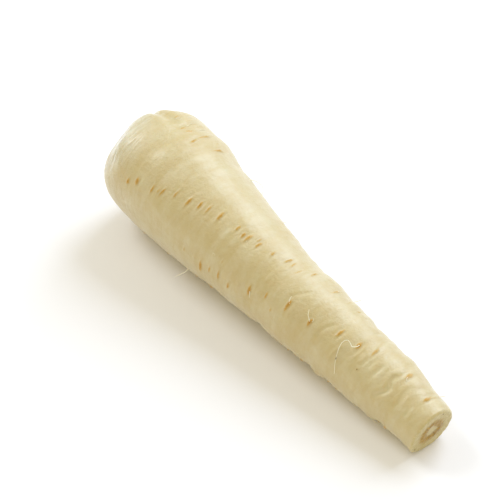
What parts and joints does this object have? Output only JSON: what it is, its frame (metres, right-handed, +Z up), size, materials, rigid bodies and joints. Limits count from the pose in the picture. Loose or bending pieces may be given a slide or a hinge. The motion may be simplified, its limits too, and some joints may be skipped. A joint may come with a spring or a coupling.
{
  "type": "parsnip",
  "caption": "Trimmed parsnip root lying on its side: a tapering cream root with a pared crown, a cut tip, slit-like scars and fine rootlets.",
  "frame": {"origin": "centre of the bounding box's base, on the surface that the root lies on", "axes": "+X runs along the root from its pared crown to its cut tip, +Z is up"},
  "size_m": [0.1964, 0.0546, 0.0566],
  "materials": {
    "root_flesh": "scrubbed cream root skin, soft satin, with ochre scars and a brown ring in the cut tip"
  },
  "bodies": {
    "root": {"parsnip_root": "root_flesh"}
  },
  "joints": []
}
